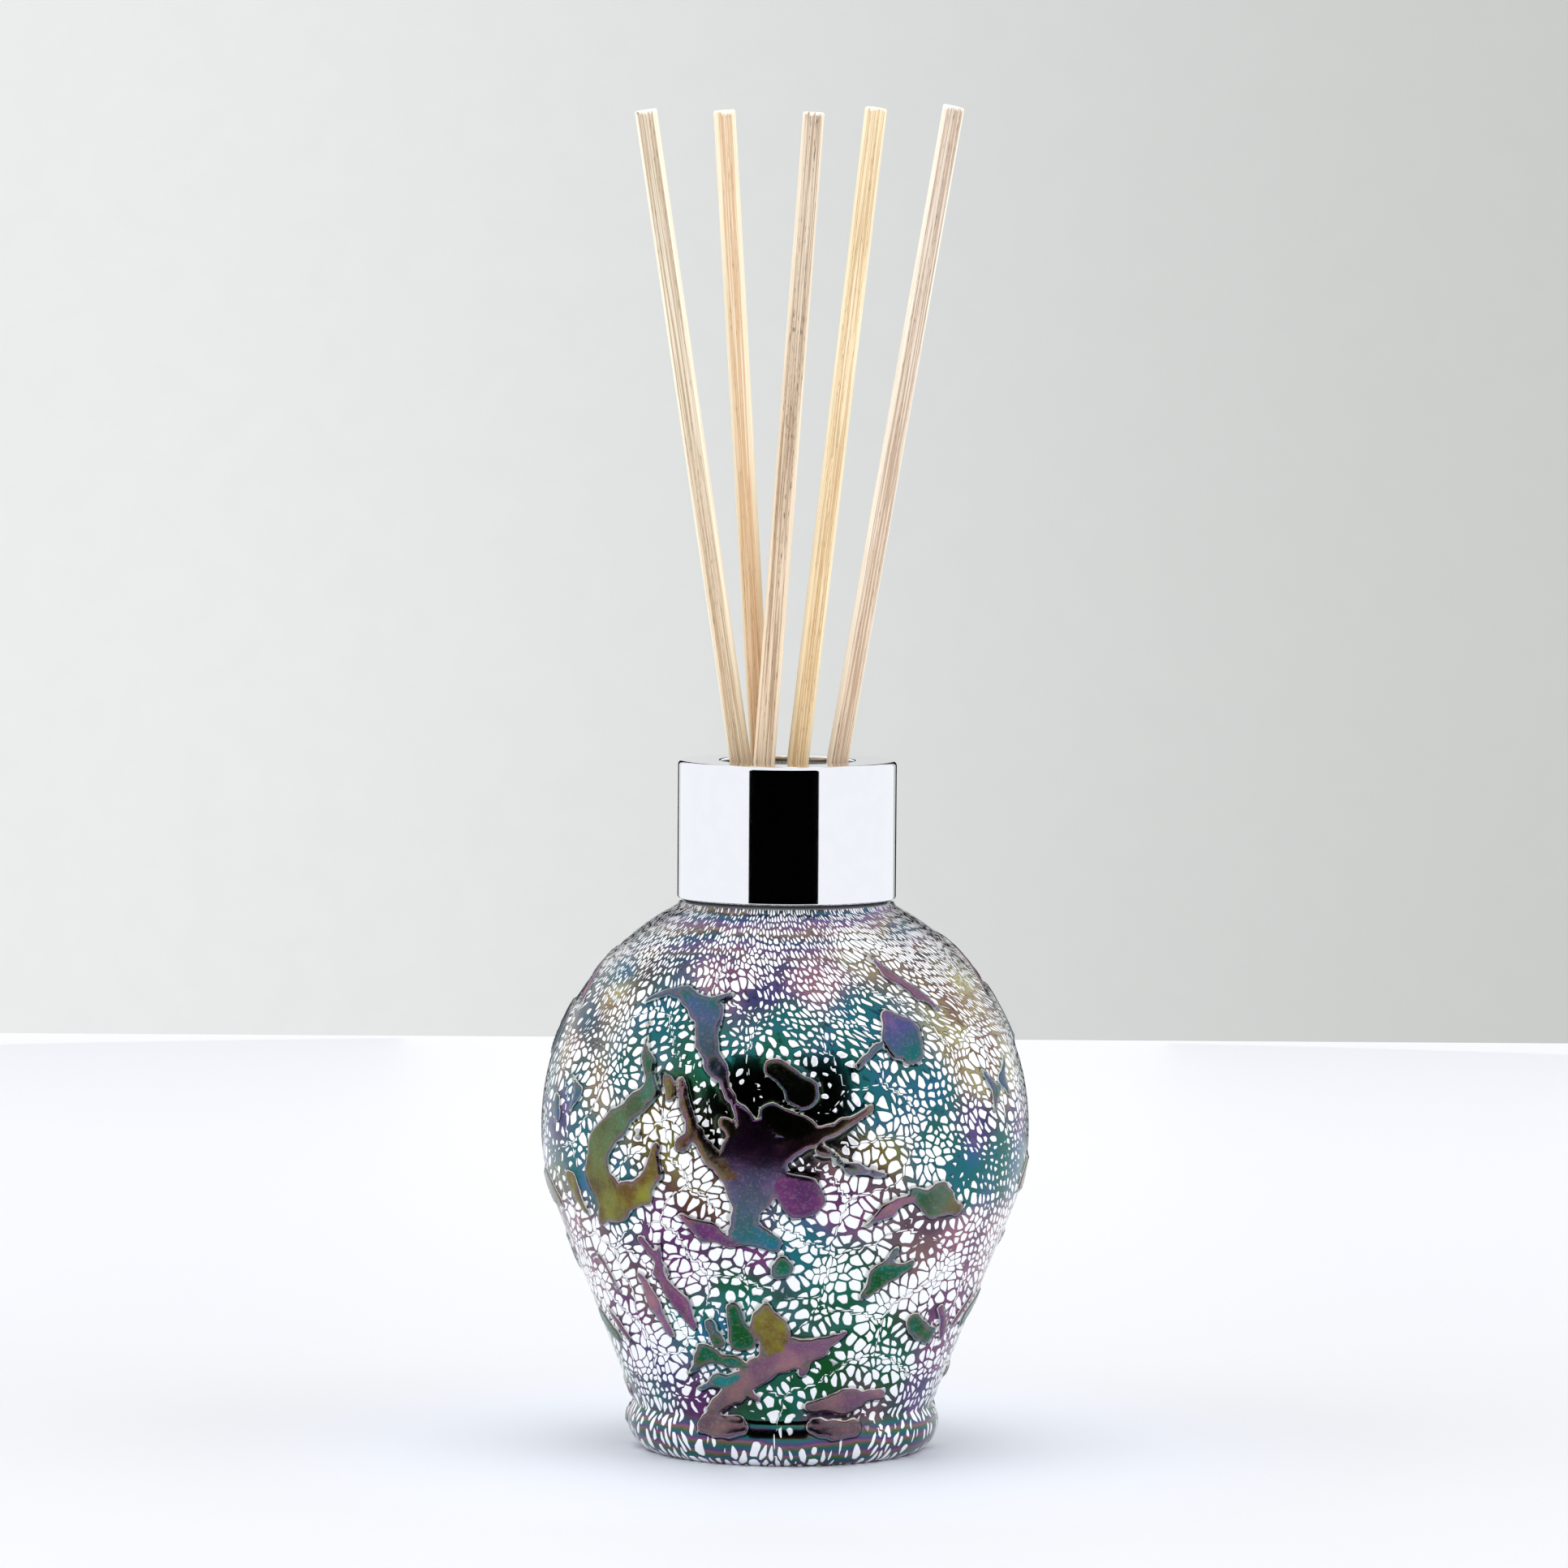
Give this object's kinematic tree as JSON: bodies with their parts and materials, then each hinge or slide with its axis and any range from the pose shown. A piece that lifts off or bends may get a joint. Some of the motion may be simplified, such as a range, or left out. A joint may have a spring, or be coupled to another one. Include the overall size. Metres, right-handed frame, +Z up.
{
  "type": "reed diffuser",
  "caption": "Table reed diffuser: round-shouldered blown iridescent glass bottle on a small rolled foot, plain chrome screw collar with an open mouth, leaning wooden reeds.",
  "frame": {"origin": "on the bottle's axis, at the plane that its foot stands on", "axes": "+Z up the bottle's axis, out of its mouth; -Y is the front"},
  "size_m": [0.072, 0.072, 0.1961],
  "materials": {
    "lustre_glass": "gloss",
    "chrome": "polished",
    "liner_plastic": "satin",
    "ferrule_metal": "satin",
    "cement": "matte",
    "seal_rubber": "matte",
    "reed_wood": "matte",
    "oil": "gloss"
  },
  "bodies": {
    "bottle": {"bottle": "lustre_glass", "cement_ring": "cement", "neck_ferrule": "ferrule_metal", "fragrance_oil": "oil"},
    "collar_lift": {"collar_seal": "seal_rubber"},
    "collar": {"collar_liner": "liner_plastic", "collar_shell": "chrome"},
    "reed_1": {"reed_1": "reed_wood"},
    "reed_2": {"reed_2": "reed_wood"},
    "reed_3": {"reed_3": "reed_wood"},
    "reed_4": {"reed_4": "reed_wood"},
    "reed_5": {"reed_5": "reed_wood"}
  },
  "joints": [
    {"name": "collar_rise", "type": "slide", "parent": "bottle", "child": "collar_lift", "axis": [0, 0, 1], "range_m": [0, 0.00424]},
    {"name": "collar_unscrew", "type": "hinge", "parent": "collar_lift", "child": "collar", "pos_m": [0, 0, 0.0985], "axis": [0, 0, 1], "range_deg": [0, 360]},
    {"name": "reed_1_lift", "type": "slide", "parent": "bottle", "child": "reed_1", "axis": [-0.1485, -0.0644, 0.9868], "range_m": [0, 0.11]},
    {"name": "reed_2_lift", "type": "slide", "parent": "bottle", "child": "reed_2", "axis": [-0.062, -0.0698, 0.9956], "range_m": [0, 0.11]},
    {"name": "reed_3_lift", "type": "slide", "parent": "bottle", "child": "reed_3", "axis": [0.0698, 0.0719, 0.995], "range_m": [0, 0.11]},
    {"name": "reed_4_lift", "type": "slide", "parent": "bottle", "child": "reed_4", "axis": [0.1124, 0.0535, 0.9922], "range_m": [0, 0.11]},
    {"name": "reed_5_lift", "type": "slide", "parent": "bottle", "child": "reed_5", "axis": [0.168, 0.0282, 0.9854], "range_m": [0, 0.11]}
  ],
  "couplings": [
    {"joint": "collar_rise", "follows": "collar_unscrew", "m_per_rad": 0.00067322}
  ]
}
